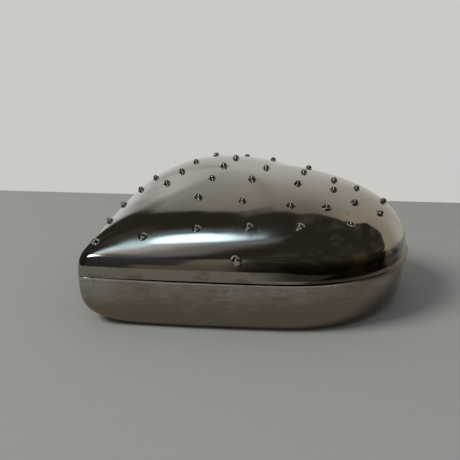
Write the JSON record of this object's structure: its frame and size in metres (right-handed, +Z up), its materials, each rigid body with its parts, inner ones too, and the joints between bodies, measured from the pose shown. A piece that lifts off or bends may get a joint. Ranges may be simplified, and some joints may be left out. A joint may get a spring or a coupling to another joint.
{
  "type": "heart-shaped box",
  "caption": "Heart-shaped keepsake box of polished silvered metal: a domed lid set with round studs lifts off a low rounded bowl with an inner bezel.",
  "frame": {"origin": "centre of the heart's bounding rectangle, on the bowl's flat underside", "axes": "+Z up, -Y to the tip of the heart, +Y to the notch between the lobes, +X across the lobes"},
  "size_m": [0.1222, 0.12, 0.0464],
  "materials": {
    "lid_silver": "polished silver plate, slightly uneven from hand work",
    "base_silver": "polished silver plate, slightly uneven from hand work",
    "bezel_silver": "plain silvered metal, less polished than the outside",
    "stud_silver": "polished silver plate, a little darker round the foot"
  },
  "bodies": {
    "base": {"base_bowl": "base_silver", "inner_bezel": "bezel_silver"},
    "lid": {"lid_shell": "lid_silver", "stud_01": "stud_silver", "stud_02": "stud_silver", "stud_03": "stud_silver", "stud_04": "stud_silver", "stud_05": "stud_silver", "stud_06": "stud_silver", "stud_07": "stud_silver", "stud_08": "stud_silver", "stud_09": "stud_silver", "stud_10": "stud_silver", "stud_11": "stud_silver", "stud_12": "stud_silver", "stud_13": "stud_silver", "stud_14": "stud_silver", "stud_15": "stud_silver", "stud_16": "stud_silver", "stud_17": "stud_silver", "stud_18": "stud_silver", "stud_19": "stud_silver", "stud_20": "stud_silver", "stud_21": "stud_silver", "stud_22": "stud_silver", "stud_23": "stud_silver", "stud_24": "stud_silver", "stud_25": "stud_silver", "stud_26": "stud_silver", "stud_27": "stud_silver", "stud_28": "stud_silver", "stud_29": "stud_silver", "stud_30": "stud_silver", "stud_31": "stud_silver", "stud_32": "stud_silver", "stud_33": "stud_silver", "stud_34": "stud_silver", "stud_35": "stud_silver", "stud_36": "stud_silver", "stud_37": "stud_silver", "stud_38": "stud_silver", "stud_39": "stud_silver", "stud_40": "stud_silver", "stud_41": "stud_silver"}
  },
  "joints": [
    {"name": "lid_lift", "type": "slide", "parent": "base", "child": "lid", "axis": [0, 0, 1], "range_m": [0, 0.04]}
  ]
}
